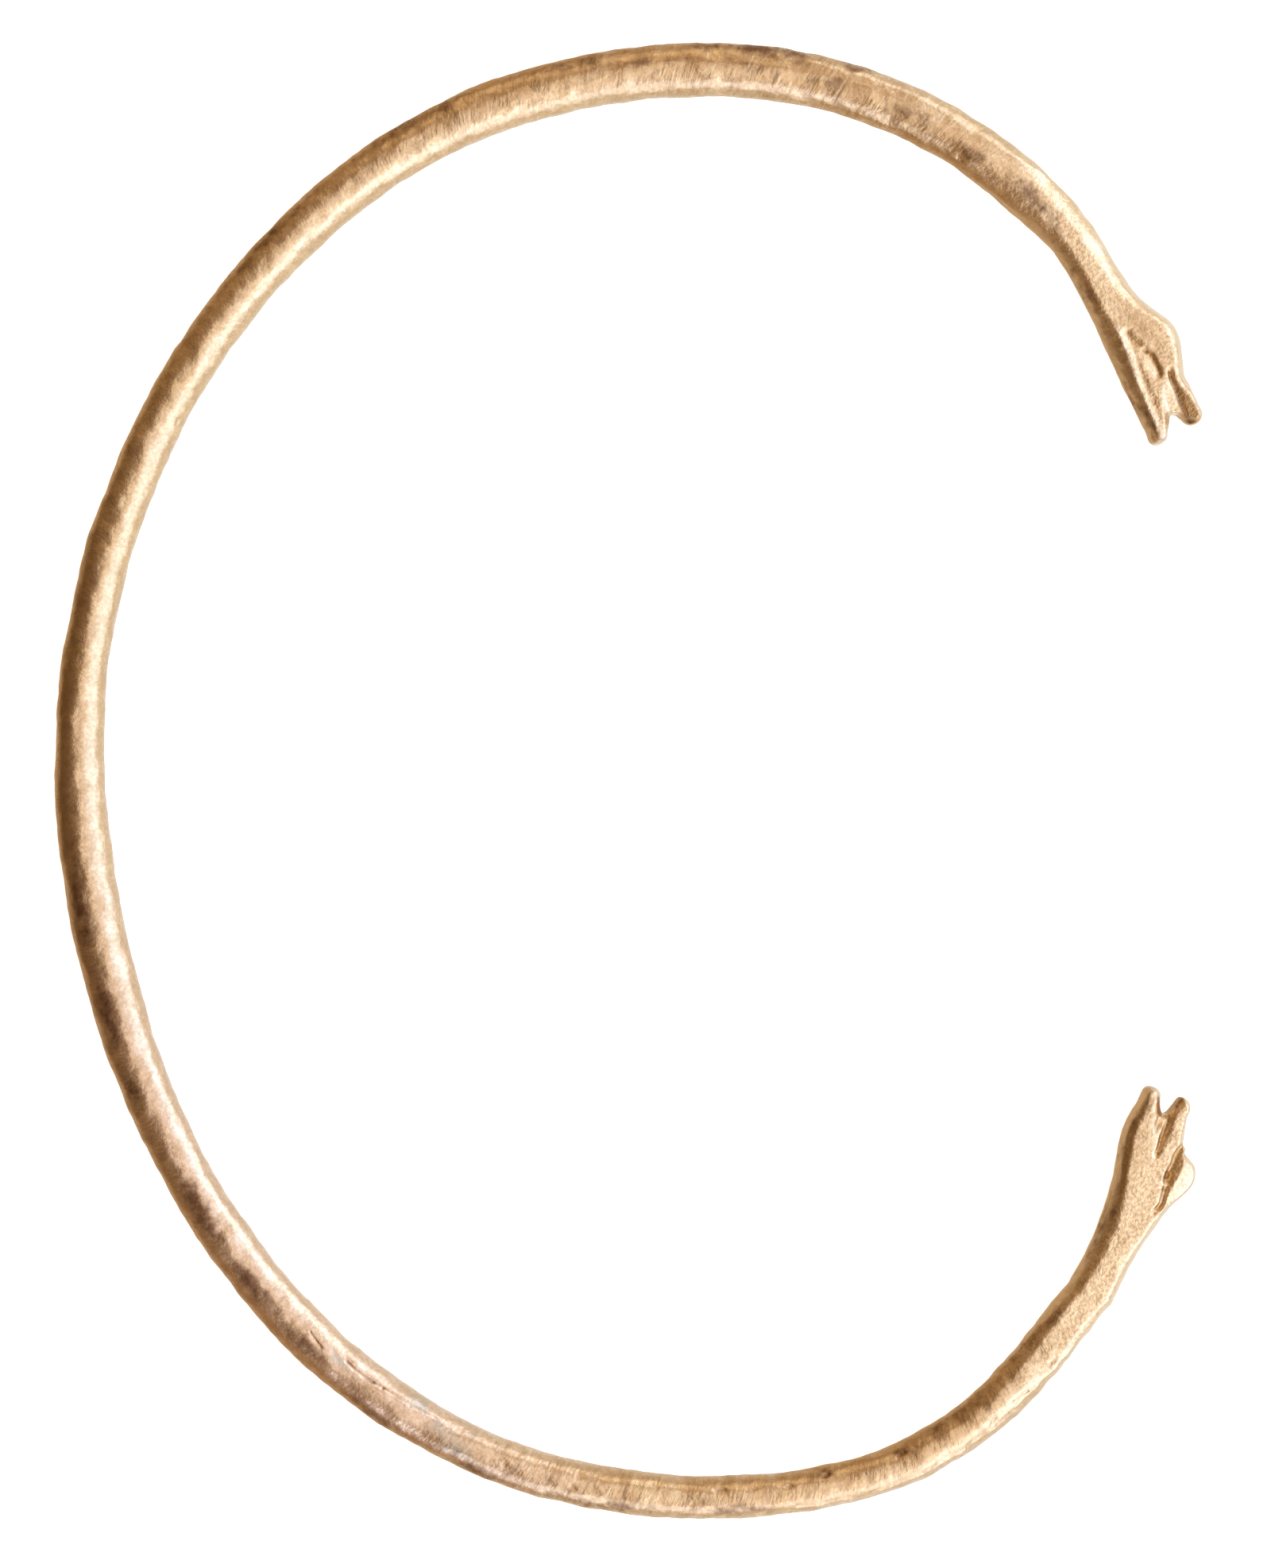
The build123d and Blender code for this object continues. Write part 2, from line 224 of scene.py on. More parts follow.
# Golden drifts: on the bar a golden drift of colour; on the heads' cheeks and necks, painted shade
# of their soft hollows
GOLDEN_DRIFTS_AND_SHADE = [
    Stain(-5.6, 0.20, 2.0, 0.75, 0.85), Stain(-3.4, 0.10, 1.4, 0.40, 0.30),
    Stain(-8.4, -0.90, 1.2, 0.50, 0.30), Stain(-9.4, 0.30, 1.0, 0.40, 0.45),
    Stain(145.0, -1.10, 3.0, 0.50, 0.60), Stain(149.0, -1.20, 1.6, 0.40, 0.60),
    Stain(7.0, -0.30, 4.5, 0.60, 0.80), Stain(13.5, 0.00, 4.5, 0.60, 0.80),
    Stain(20.5, 0.25, 5.0, 0.55, 0.80), Stain(28.5, 0.30, 5.5, 0.50, 0.70),
    Stain(114.0, 0.20, 4.0, 0.50, 0.50), Stain(121.0, 0.10, 4.5, 0.60, 0.75),
    Stain(128.0, 0.00, 3.5, 0.60, 0.75),
]

# How the heads are cut. The first number of a pair is where an effect sets in, the second
# where it is full. A fade is in millimetres past the neck, towards the muzzle
CARVE_START = -7.0
MARKS_FADE_IN, RIMS_FADE_IN = (-1.0, 1.0), (-6.0, -1.0)
INNER_TIP_FADE, OUTER_TIP_FADE = TipFade(0.7, 9.2, 10.0), TipFade(0.8, 8.2, 9.2)
RIM_PARTING = ([0, 4, 7, 10], [-0.1, 0.0, -0.3, -0.9])
OUTLINE_START, OUTLINE_BAND = -8.0, 0.13
LEAST_HALF_HEIGHT = 0.2
# How far the painted shade of a facet and of a channel spreads past its own edge, as shares
BROWN_FACET_SPREAD, BROWN_CHANNEL_SPREAD = 1.5, 1.2

# How the bar is rounded and roughened. Lumps, grain and ragged edge are in millimetres
DETAIL_START = 4.5
BAR_STEP, BAR_STEPS_EASED, BAR_UNSEEN = 0.5, 7, -9.0
ROUND_FADE_IN, BAR_FADE_IN = (-1.0, -8.0), (1.0, -3.0)
LARGE_LUMP, SMALL_LUMP, SMALL_LUMP_SHARE, HEAD_LUMP_SHARE = 3.0, 1.1, 0.75, 0.3
GRAIN_SIZE, GRAIN_HEIGHT = 0.5, 0.028
RAGGED_ALONG, RAGGED_OUT = (117.5, 121.0), (0.3, 0.9)
RAGGED_SIZE, RAGGED_HEIGHT, RAGGED_SUNK = 0.8, 0.06, 0.02
SCARRED_SIDE = (0.05, 0.3)

# Where the finish changes. A side is picked by how much the surface faces up, a hollow or
# a raised ridge by how far it lies under or over its surroundings, in millimetres. Hollows
# get painted shade, raised ridges are brightened as wear, and the heads' filed bands are
# brightened with painted light
MATTE_FADE_IN, MATTE_SIDE = (-9.0, 0.5), (0.55, 0.9)
FILED_FADE_IN, FILED_SIDE = (-6.0, 0.0), (0.75, 0.5)
BRUSHED_LOW, BRUSHED_HIGH, BRUSHED_FADE_OUT = (98, 110), (44, 30), (-8.0, 0.0)
LEAST_BRUSHED = 0.25
ROSY_START, ROSY_END = (62, 84), (114, 102)
HOLLOW_DEPTH, WORN_BULGE, BRIGHTENING_OUT_BY_SHADE = (0.012, 0.06), (0.03, 0.08), (0.0, 0.25)
STAINED_SIDE, STAIN_EDGE = (-0.1, 0.2), (1.5, 0.2)
MOST_ROSY, MOST_HOLLOW, MOST_FILED_LIGHT = 0.7, 0.6, 0.75
MASKS = ("matte", "brushed", "rosy", "hollow", "brown", "worn", "golden", "patch", "grey")
TONES = ("gold", "copper", "shade", "sand", "grit", "amber", "worn", "tarnish_and_shade", "grey")

# Lamps round the table in metres, sized across and towards the zenith, and the camera
LAMPS = [
    Lamp("key_right", (0.26, -0.05, 0.27), (0.60, 0.30), 1.0, (0.97, 1.16, 1.50)),
    Lamp("overhead", (0.05, 0.0, 0.40), (0.50, 0.24), 0.66, (1.0, 1.0, 1.03)),
    Lamp("low_right", (0.42, 0.02, 0.11), (0.70, 0.22), 0.82, (0.97, 1.14, 1.44)),
    Lamp("low_near", (0.06, -0.36, 0.19), (0.50, 0.34), 0.92, (0.96, 1.12, 1.44)),
    Lamp("low_corner", (0.26, 0.30, 0.16), (0.36, 0.24), 1.0, (0.97, 1.12, 1.38)),
    Lamp("low_far", (-0.02, 0.42, 0.20), (0.36, 0.30), 0.46, (1.0, 0.86, 0.64)),
]
SENSOR_WIDTH = 36.0
VIEW_CENTRE = (0.00035, -0.00015)


def smooth_step(value, low, high):
    """Share from 0 at low to 1 at high, eased at both ends."""
    share = np.clip((value - low) / (high - low), 0, 1)
    return share * share * (3 - 2 * share)


def line_distance(points, line):
    """Distance of each point to a line of joined points."""
    nearest = np.full(len(points), np.inf)
    for start, end in zip(line, line[1:]):
        start, run = np.array(start), np.subtract(end, start)
        share = np.clip((points - start) @ run / (run @ run + 1e-9), 0, 1)
        beside = points - start - share[:, None] * run
        nearest = np.minimum(nearest, np.linalg.norm(beside, axis=1))
    return nearest


def inside(points, corners):
    """Whether each point lies inside a closed outline."""
    within = np.zeros(len(points), bool)
    x, y = points.T
    for (x1, y1), (x2, y2) in zip(corners, corners[1:] + corners[:1]):
        if y1 != y2:
            within ^= ((y1 > y) != (y2 > y)) & (x < (x2 - x1) * (y - y1) / (y2 - y1) + x1)
    return within


def facet_share(points, facet):
    """Share of its depth that a slope has at each point, from its high line to its low one."""
    high, low = line_distance(points, facet.high), line_distance(points, facet.low)
    outline = facet.high + facet.low[::-1]
    to_outline = line_distance(points, outline + outline[:1])
    beyond = np.where(inside(points, outline), 0, to_outline)
    return high / (high + low + 1e-6) * smooth_step(beyond, facet.soft, 0)


def channel_share(points, channel):
    """Share of its depth that a channel has at each point, deepest along its line."""
    return smooth_step(line_distance(points, channel.line), channel.width / 2, 0)


def rim_drop(from_edge, along, rim, tip_fade):
    """How far a head's rim falls away towards its outline, less at the muzzle's tip."""
    width = np.interp(along, rim.along, rim.width)
    share = np.clip(1 - from_edge / width, 0, 1)
    first = np.minimum(rim.start_slope * width / rim.drop, 0.9)
    drop = rim.drop * (first * share + (1 - first) * share ** 3)
    return drop * (1 - tip_fade.share * smooth_step(along, tip_fade.start, tip_fade.end))


def stain_amount(points, stains):
    """How stained the metal is at each point."""
    total = np.zeros(len(points))
    for stain in stains:
        reach = np.hypot((points[:, 0] - stain.along) / stain.reach,
                         (points[:, 1] - stain.out) / stain.breadth)
        total = np.maximum(total, stain.amount * smooth_step(reach, *STAIN_EDGE))
    return total


class MiddleLine:
    """The bar's middle line as close points, run on straight through both heads."""

    def __init__(self):
        centre = Vector((*HOOP_CENTRE, 0))
        knots = [centre + Vector((reach * HOOP_REACH, length * HOOP_HALF_LENGTH, 0))
                 for reach, length in ROUTE]
        slopes = [(after - before) / 2 for before, after in zip(knots, knots[2:])]
        first, last = (knots[1] - knots[0]).length, (knots[-1] - knots[-2]).length
        slopes = [-UPPER_MUZZLE * first, *slopes, LOWER_MUZZLE * last]
        points = [knots[0] + UPPER_MUZZLE * HEAD_REACH * share
                  for share in np.linspace(1, 0, POINTS_PER_HEAD, endpoint=False)]
        for start, end, leaving, arriving in zip(knots, knots[1:], slopes, slopes[1:]):
            handles = start + leaving / 3, end - arriving / 3
            points += geometry.interpolate_bezier(start, *handles, end, POINTS_PER_SPAN)[:-1]
        points += [knots[-1] + LOWER_MUZZLE * HEAD_REACH * share
                   for share in np.linspace(0, 1, POINTS_PER_HEAD)]
        self.points = np.array(points)[:, :2]
        steps = np.linalg.norm(np.diff(self.points, axis=0), axis=1)
        self.along = np.concatenate([[0], np.cumsum(steps)]) - HEAD_REACH
        self.length = self.along[-1] - HEAD_REACH
        self.heading = np.gradient(self.points, axis=0)
        self.heading /= np.linalg.norm(self.heading, axis=1)[:, None]
        self.outward = np.stack([self.heading[:, 1], -self.heading[:, 0]], axis=1)
        self.tree = kdtree.KDTree(len(self.points))
        for number, (x, y) in enumerate(self.points):
            self.tree.insert((x, y, 0), number)
        self.tree.balance()
        self.heads = [
            (UPPER_HEAD, np.array(knots[0][:2]), np.array(UPPER_MUZZLE[:2]), self.outward[0]),
            (LOWER_HEAD, np.array(knots[-1][:2]), np.array(LOWER_MUZZLE[:2]), self.outward[-1]),
        ]

    def place(self, co):
        """(along, outward, up) of each point in millimetres, and the nearest point's number."""
        near = np.array([self.tree.find((x, y, 0))[1] for x, y in co[:, :2]])
        offset = co[:, :2] - self.points[near]
        along = self.along[near] + (offset * self.heading[near]).sum(1)
        outward = (offset * self.outward[near]).sum(1)
        return np.stack([along, outward, co[:, 2] - HALF_HEIGHT], axis=1), near

    def past_neck(self, place):
        """Distance of each point past the nearer neck towards the muzzle."""
        return np.maximum(-place[:, 0], place[:, 0] - self.length)


def on_head(co, neck, muzzle, outward, start):
    """Which points are by a head and past start, and their (along, out) from its neck."""
    offset = co[:, :2] - neck
    points = np.stack([offset @ muzzle, offset @ outward], axis=1)
    along, out = points.T
    here = (along > start) & (along < HEAD_REACH) & (np.abs(out) < HEAD_BREADTH)
    return here, points[here]


def bar_sizes(place):
    """The bar's middle, half width and half height at each point's place along it."""
    bins = np.arange(place[:, 0].min(), place[:, 0].max() + 1, BAR_STEP)
    number = np.digitize(place[:, 0], bins)
    outer, inner, top = (np.full(len(bins) + 1, BAR_UNSEEN) for _ in range(3))
    np.maximum.at(outer, number, place[:, 1])
    np.maximum.at(inner, number, -place[:, 1])
    np.maximum.at(top, number, place[:, 2])
    even = np.ones(BAR_STEPS_EASED) / BAR_STEPS_EASED
    sizes = []
    for values in ((outer - inner) / 2, (outer + inner) / 2, top):
        values[0], values[-1] = values[1], values[-2]
        padded = np.pad(values, BAR_STEPS_EASED // 2, mode="edge")
        eased = np.convolve(padded, even, mode="valid")
        sizes.append(np.interp(place[:, 0], bins, eased[:-1]))
    return sizes


def round_section(place, roundness):
    """How far each point moves outward and up for a rounder section of the same size."""
    middle, half_width, half_height = bar_sizes(place)
    out, up = (place[:, 1] - middle) / half_width, place[:, 2] / half_height
    reach = np.hypot(out, up)
    out, up = out / reach, up / reach
    target = (np.abs(out) ** roundness + np.abs(up) ** roundness) ** (-1 / roundness)
    return (target - reach) * out * half_width, (target - reach) * up * half_height


def add_fill(shape, corners):
    """Add a block of the bar's height with the given outline, to be fused with the metal."""
    verts = [shape.verts.new((x, y, 0)) for x, y in corners]
    base = shape.faces.new(verts)
    raised = bmesh.ops.extrude_face_region(shape, geom=[base])["geom"]
    moved = [item for item in raised if isinstance(item, bmesh.types.BMVert)]
    bmesh.ops.translate(shape, verts=moved, vec=(0, 0, 2 * HALF_HEIGHT))
    sides = {face for vert in verts + moved for face in vert.link_faces}
    bmesh.ops.recalc_face_normals(shape, faces=list(sides))


def filled_mesh(node, line):
    """A merged copy of the node's mesh in millimetres, with its mouths and slits filled."""
    shape = bmesh.new()
    shape.from_mesh(node.data)
    bmesh.ops.remove_doubles(shape, verts=shape.verts, dist=1e-7)
    bmesh.ops.transform(shape, matrix=Matrix.Scale(1 / MM, 4), verts=shape.verts)
    for head, neck, muzzle, outward in line.heads:
        for corners in head.fills:
            add_fill(shape, [neck + along * muzzle + out * outward for along, out in corners])
    mesh = bpy.data.meshes.new("cast_body")
    shape.to_mesh(mesh)
    shape.free()
    return mesh


def carve_heads(co, normals, line):
    """Height above the middle plane that each point keeps once the heads are carved."""
    limit = np.full(len(co), np.inf)
    place = line.place(co)[0]
    at_middle = ((np.abs(place[:, 2]) < OUTLINE_BAND) & (np.abs(normals[:, 2]) < 0.5)
                 & (line.past_neck(place) > OUTLINE_START))
    edge = kdtree.KDTree(int(at_middle.sum()))
    for number, (x, y) in enumerate(co[at_middle, :2]):
        edge.insert((x, y, 0), number)
    edge.balance()
    for head, neck, muzzle, outward in line.heads:
        here, points = on_head(co, neck, muzzle, outward, CARVE_START)
        along, out = points.T
        from_edge = np.array([edge.find((x, y, 0))[2] for x, y in co[here, :2]])
        depth = np.zeros(len(points))
        for facet in head.facets:
            depth = np.maximum(depth, facet.depth * facet_share(points, facet))
        for channel in head.channels:
            depth += channel.depth * channel_share(points, channel)
        drop = np.where(out < np.interp(along, *RIM_PARTING),
                        rim_drop(from_edge, along, head.inner_rim, INNER_TIP_FADE),
                        rim_drop(from_edge, along, head.outer_rim, OUTER_TIP_FADE))
        marks = depth * smooth_step(along, *MARKS_FADE_IN)
        rims = drop * smooth_step(along, *RIMS_FADE_IN)
        limit[here] = HALF_HEIGHT - np.maximum(marks, rims)
    return limit


def colour_heads(co, line):
    """How much painted shade browns the heads' hollows, and how much wear and painted light
    brighten their edges, at each point.
    """
    brown, worn = np.zeros(len(co)), np.zeros(len(co))
    for head, neck, muzzle, outward in line.heads:
        here, points = on_head(co, neck, muzzle, outward, 0)
        dark = np.zeros(len(points))
        for facet in head.facets:
            wider = facet._replace(soft=facet.soft * BROWN_FACET_SPREAD)
            dark = np.maximum(dark, facet.dark * facet_share(points, wider))
        for channel in head.channels:
            wider = channel._replace(width=channel.width * BROWN_CHANNEL_SPREAD)
            dark = np.maximum(dark, channel.dark * channel_share(points, wider))
        brown[here] = dark
        for edge in head.worn_edges:
            worn[here] = np.maximum(worn[here], edge.depth * channel_share(points, edge))
    return brown, worn


def read(mesh, what="co"):
    """Vertex places or normals of a mesh as an array."""
    values = np.zeros(len(mesh.vertices) * 3)
    mesh.vertices.foreach_get(what, values)
    return values.reshape(-1, 3)


def write(mesh, co):
    """Put the mesh's vertices at new places."""
    mesh.vertices.foreach_set("co", co.ravel())
    mesh.update()


def edge_ends(mesh):
    """The two vertices of each edge as an array."""
    ends = np.zeros(len(mesh.edges) * 2, int)
    mesh.edges.foreach_get("vertices", ends)
    return ends.reshape(-1, 2)


def neighbour_mean(values, ends):
    """Mean of each vertex's neighbours, along the mesh's edges."""
    total = np.zeros_like(values)
    count = np.bincount(ends.ravel(), minlength=len(values))
    for axis in range(values.shape[1]):
        for here, there in ((0, 1), (1, 0)):
            total[:, axis] += np.bincount(ends[:, here], values[ends[:, there], axis],
                                          len(values))
    return total / count[:, None]


def smoothed(mesh, rounds, share):
    """Places of the mesh's vertices, eased towards their neighbours."""
    ends, co = edge_ends(mesh), read(mesh)
    for _ in range(rounds):
        co += share * (neighbour_mean(co, ends) - co)
    return co


def cloud(co, size, seed):
    """Smooth noise from -1 to 1 at a size in millimetres."""
    shift = Vector((seed * 17.3, seed * 5.1, seed * 9.7))
    return np.array([noise.noise(Vector(point) + shift) for point in co / size])


def round_and_carve(mesh, line, roundness):
    """Round the bar's section, and cut the heads' marks into both sides."""
    co = smoothed(mesh, 3, 0.5)
    write(mesh, co)
    place, near = line.place(co)
    on_round = smooth_step(line.past_neck(place), *ROUND_FADE_IN)
    outward, upward = round_section(place, roundness)
    co[:, :2] += line.outward[near] * (outward * on_round)[:, None]
    co[:, 2] += upward * on_round
    limit = np.maximum(carve_heads(co, read(mesh, "normal"), line), LEAST_HALF_HEIGHT)
    up = co[:, 2] - HALF_HEIGHT
    co[:, 2] = HALF_HEIGHT + np.sign(up) * np.minimum(np.abs(up), limit)
    write(mesh, co)


def roughen(mesh, line, sizes):
    """Give the surface its lumps, rough edge and scars, and return each vertex's place."""
    co = smoothed(mesh, 2, 0.4)
    write(mesh, co)
    normals = read(mesh, "normal")
    place = line.place(co)[0]
    along, out = place[:, 0], place[:, 1]
    on_bar = smooth_step(line.past_neck(place), *BAR_FADE_IN)
    large, small = cloud(co, LARGE_LUMP, sizes.seed), cloud(co, SMALL_LUMP, sizes.seed + 1)
    lumps = large + SMALL_LUMP_SHARE * small - 0.5
    lift = sizes.lump * lumps * (HEAD_LUMP_SHARE + (1 - HEAD_LUMP_SHARE) * on_bar)
    lift += GRAIN_HEIGHT * cloud(co, GRAIN_SIZE, sizes.seed + 3)
    ragged = RAGGED_HEIGHT * cloud(co, RAGGED_SIZE, sizes.seed + 2) - RAGGED_SUNK
    lift += smooth_step(along, *RAGGED_ALONG) * smooth_step(out, *RAGGED_OUT) * on_bar * ragged
    upper_side = smooth_step(normals[:, 2], *SCARRED_SIDE) * on_bar
    for scar in SCARS:
        lift -= scar.depth * channel_share(place[:, :2], scar) * upper_side
    write(mesh, co + normals * lift[:, None])
    return place


def apply_modifiers(obj):
    """Give the object the mesh that its modifiers make, and clear them."""
    bpy.context.view_layer.update()
    shaped = obj.evaluated_get(bpy.context.evaluated_depsgraph_get())
    mesh = bpy.data.meshes.new_from_object(shaped)
    old = obj.data
    obj.modifiers.clear()
    obj.data = mesh
    bpy.data.meshes.remove(old)
    return mesh


def remesh(obj, voxel):
    """Give the object an even mesh of small cells, fused where solids overlap."""
    even = obj.modifiers.new("even_mesh", "REMESH")
    even.mode = "VOXEL"
    even.voxel_size = voxel
    return apply_modifiers(obj)


def thin_out(obj, plain, triangles):
    """Bring the object down to so many triangles, all taken where its vertices are plain."""
    full = len(obj.data.polygons) * 2
    if full <= triangles:
        return obj.data
    group = obj.vertex_groups.new(name="plain")
    group.add(np.flatnonzero(plain).tolist(), 1.0, "REPLACE")
    cut = obj.modifiers.new("fewer_faces", "DECIMATE")
    cut.vertex_group = group.name
    cut.ratio = triangles / full
    mesh = apply_modifiers(obj)
    obj.vertex_groups.clear()
    return mesh


def give_attribute(mesh, name, values):
    """Write one number or vector per vertex as a named attribute."""
    kind, field = ("FLOAT", "value") if values.ndim == 1 else ("FLOAT_VECTOR", "vector")
    attribute = mesh.attributes.new(name, kind, "POINT")
    attribute.data.foreach_set(field, values.astype(np.float32).ravel())


def mark_finish(mesh, line):
    """Write as mesh attributes where the metal is matte, brushed or stained, and where painted
    shade, wear and painted light fall.
    """
    co, normals = read(mesh), read(mesh, "normal")
    bulge = ((co - smoothed(mesh, 6, 1.0)) * normals).sum(1)
    place = line.place(co)[0]
    past_neck, along, spot = line.past_neck(place), place[:, 0], place[:, :2]
    upright, above = np.abs(normals[:, 2]), smooth_step(normals[:, 2], *STAINED_SIDE)
    filed = smooth_step(past_neck, *FILED_FADE_IN) * smooth_step(upright, *FILED_SIDE)
    well_brushed = np.maximum(smooth_step(along, *BRUSHED_LOW), smooth_step(along, *BRUSHED_HIGH))
    brushed = LEAST_BRUSHED + (1 - LEAST_BRUSHED) * well_brushed
    # Brightening: painted light on the heads' filed bands and bright edges, and wear on raised
    # ridges
    brown, rubbed_and_painted_light = colour_heads(co, line)
    rubbed_and_painted_light = np.maximum(rubbed_and_painted_light, MOST_FILED_LIGHT * filed)
    rubbed_and_painted_light = np.maximum(smooth_step(bulge, *WORN_BULGE), rubbed_and_painted_light)
    marks = {
        "bar_place": place,
        "matte": smooth_step(past_neck, *MATTE_FADE_IN) * smooth_step(upright, *MATTE_SIDE),
        "brushed": np.maximum(brushed * (1 - smooth_step(past_neck, *BRUSHED_FADE_OUT)), filed),
        "rosy": MOST_ROSY * smooth_step(along, *ROSY_START) * smooth_step(along, *ROSY_END),
        # Painted shade darkens the hollows and the heads' carved hollows; wear and painted light
        # brighten edges
        "hollow": MOST_HOLLOW * smooth_step(-bulge, *HOLLOW_DEPTH),
        "brown": brown,
        "worn": rubbed_and_painted_light * (1 - smooth_step(brown, *BRIGHTENING_OUT_BY_SHADE)),
        "golden": stain_amount(spot, GOLDEN_DRIFTS_AND_SHADE),
        "patch": stain_amount(spot, STAINS) * above,
        "grey": stain_amount(spot, GREY_STAINS) * above,
    }
    for name, values in marks.items():
        give_attribute(mesh, name, values)


def place_node(tree, kind, inputs=None, **settings):
    """Add a node, set it up and fill or link its inputs."""
    node = tree.nodes.new(kind)
    for key, value in settings.items():
        setattr(node, key, value)
    for key, value in (inputs or {}).items():
        if isinstance(value, bpy.types.NodeSocket):
            tree.links.new(value, node.inputs[key])
        else:
            node.inputs[key].default_value = value
    return node


def math_node(tree, operation, *values, clamp=False):
    """Output of a Math node."""
    settings = {"operation": operation, "use_clamp": clamp}
    return place_node(tree, "ShaderNodeMath", dict(enumerate(values)), **settings).outputs[0]


def product(tree, first, second):
    """Output of a Math node that multiplies two numbers."""
    return math_node(tree, "MULTIPLY", first, second)


def mix_colour(tree, share, first, second):
    """Output of a Mix node between two colours."""
    inputs = {0: share, 6: first, 7: second}
    return place_node(tree, "ShaderNodeMix", inputs, data_type="RGBA").outputs[2]


def mix_value(tree, share, first, second):
    """Output of a Mix node between two numbers."""
    inputs = {0: share, 2: first, 3: second}
    return place_node(tree, "ShaderNodeMix", inputs, data_type="FLOAT").outputs[0]


def ramp(tree, value, low, high):
    """Output of a Map Range node from low and high to 0 and 1, eased."""
    inputs = {"Value": value, "From Min": low, "From Max": high}
    settings = {"interpolation_type": "SMOOTHSTEP"}
    return place_node(tree, "ShaderNodeMapRange", inputs, **settings).outputs[0]


def noise_value(tree, vector, scale, detail=2.0, rough=0.5, distortion=0.0):
    """Factor output of a Noise Texture."""
    inputs = {"Vector": vector, "Scale": scale, "Detail": detail, "Roughness": rough,
              "Distortion": distortion}
    return place_node(tree, "ShaderNodeTexNoise", inputs).outputs[0]


def new_group(name, inputs, outputs):
    """A shader node group with its sockets, and what its input and output nodes hold."""
    tree = bpy.data.node_groups.new(name, "ShaderNodeTree")
    for label, kind, value in inputs:
        socket = tree.interface.new_socket(label, in_out="INPUT", socket_type=kind)
        if value is not None:
            socket.default_value = value
    for label in outputs:
        tree.interface.new_socket(label, in_out="OUTPUT", socket_type="NodeSocketFloat")
    given = tree.nodes.new("NodeGroupInput").outputs
    return tree, given, tree.nodes.new("NodeGroupOutput").inputs


def cast_grain_group():
    """Sandy grain of metal cast in a mould: height, dark specks, fine mottle and blotches."""
    tree, given, out = new_group(
        "Cast grain",
        [("Vector", "NodeSocketVector", None), ("Grains per mm", "NodeSocketFloat", 6.2)],
        ["Height", "Specks", "Mottle", "Blotches"],
    )
    grains = noise_value(tree, given["Vector"], given["Grains per mm"], 2.0, 0.6)
    coarse = noise_value(tree, given["Vector"], 3.0, 2.0, 0.55)
    dots = noise_value(tree, given["Vector"], 4.6, 1.0, 0.5, 0.6)
    tree.links.new(math_node(tree, "MULTIPLY_ADD", coarse, 0.6, grains), out["Height"])
    tree.links.new(ramp(tree, dots, 0.40, 0.28), out["Specks"])
    tree.links.new(ramp(tree, grains, 0.41, 0.62), out["Mottle"])
    tree.links.new(ramp(tree, coarse, 0.42, 0.64), out["Blotches"])
    return tree


def brush_strokes_group():
    """Short strokes of a file or brush across the bar: height and streaks."""
    tree, given, out = new_group(
        "Brush strokes",
        [("Bar place", "NodeSocketVector", None), ("Strokes per mm", "NodeSocketFloat", 5.5),
         ("Slant", "NodeSocketFloat", 0.3), ("Stretch", "NodeSocketFloat", 0.22)],
        ["Height", "Streaks"],
    )
    parts = place_node(tree, "ShaderNodeSeparateXYZ", {0: given["Bar place"]}).outputs
    leaned = math_node(tree, "MULTIPLY_ADD", parts[1], given["Slant"], parts[0])
    across = product(tree, parts[1], given["Stretch"])
    upward = product(tree, parts[2], given["Stretch"])
    stretched = {0: leaned, 1: across, 2: upward}
    vector = place_node(tree, "ShaderNodeCombineXYZ", stretched).outputs[0]
    fine = noise_value(tree, vector, given["Strokes per mm"], 2.0, 0.6, 0.25)
    broken = noise_value(tree, given["Bar place"], 1.4, 1.0, 0.5)
    height = product(tree, fine, ramp(tree, broken, 0.30, 0.62))
    streaks = product(tree, ramp(tree, fine, 0.38, 0.60), ramp(tree, broken, 0.32, 0.60))
    tree.links.new(height, out["Height"])
    tree.links.new(streaks, out["Streaks"])
    return tree


def tarnish_and_shade_group():
    """Brown stains in patches and painted shade in hollows, a slow drift of colour, and soft
    clouds.
    """
    tree, given, out = new_group(
        "Tarnish and shade",
        [("Vector", "NodeSocketVector", None), ("Patch", "NodeSocketFloat", 0.0),
         ("Hollow", "NodeSocketFloat", 0.0)],
        ["Mask", "Drift", "Clouds"],
    )
    blotch = noise_value(tree, given["Vector"], 1.5, 4.0, 0.62)
    uneven = math_node(tree, "MULTIPLY_ADD", blotch, 1.3, -0.65)
    edged = math_node(tree, "ADD", given["Patch"], uneven)
    patch = product(tree, ramp(tree, edged, 0.10, 0.75), ramp(tree, given["Patch"], 0.0, 0.25))
    # Stains and the painted shade of hollows, joined
    both = math_node(tree, "MAXIMUM", patch, given["Hollow"], clamp=True)
    clouds = noise_value(tree, given["Vector"], 0.9, 3.0, 0.6)
    tree.links.new(both, out["Mask"])
    tree.links.new(noise_value(tree, given["Vector"], 0.30, 2.0, 0.5), out["Drift"])
    tree.links.new(ramp(tree, clouds, 0.35, 0.68), out["Clouds"])
    return tree


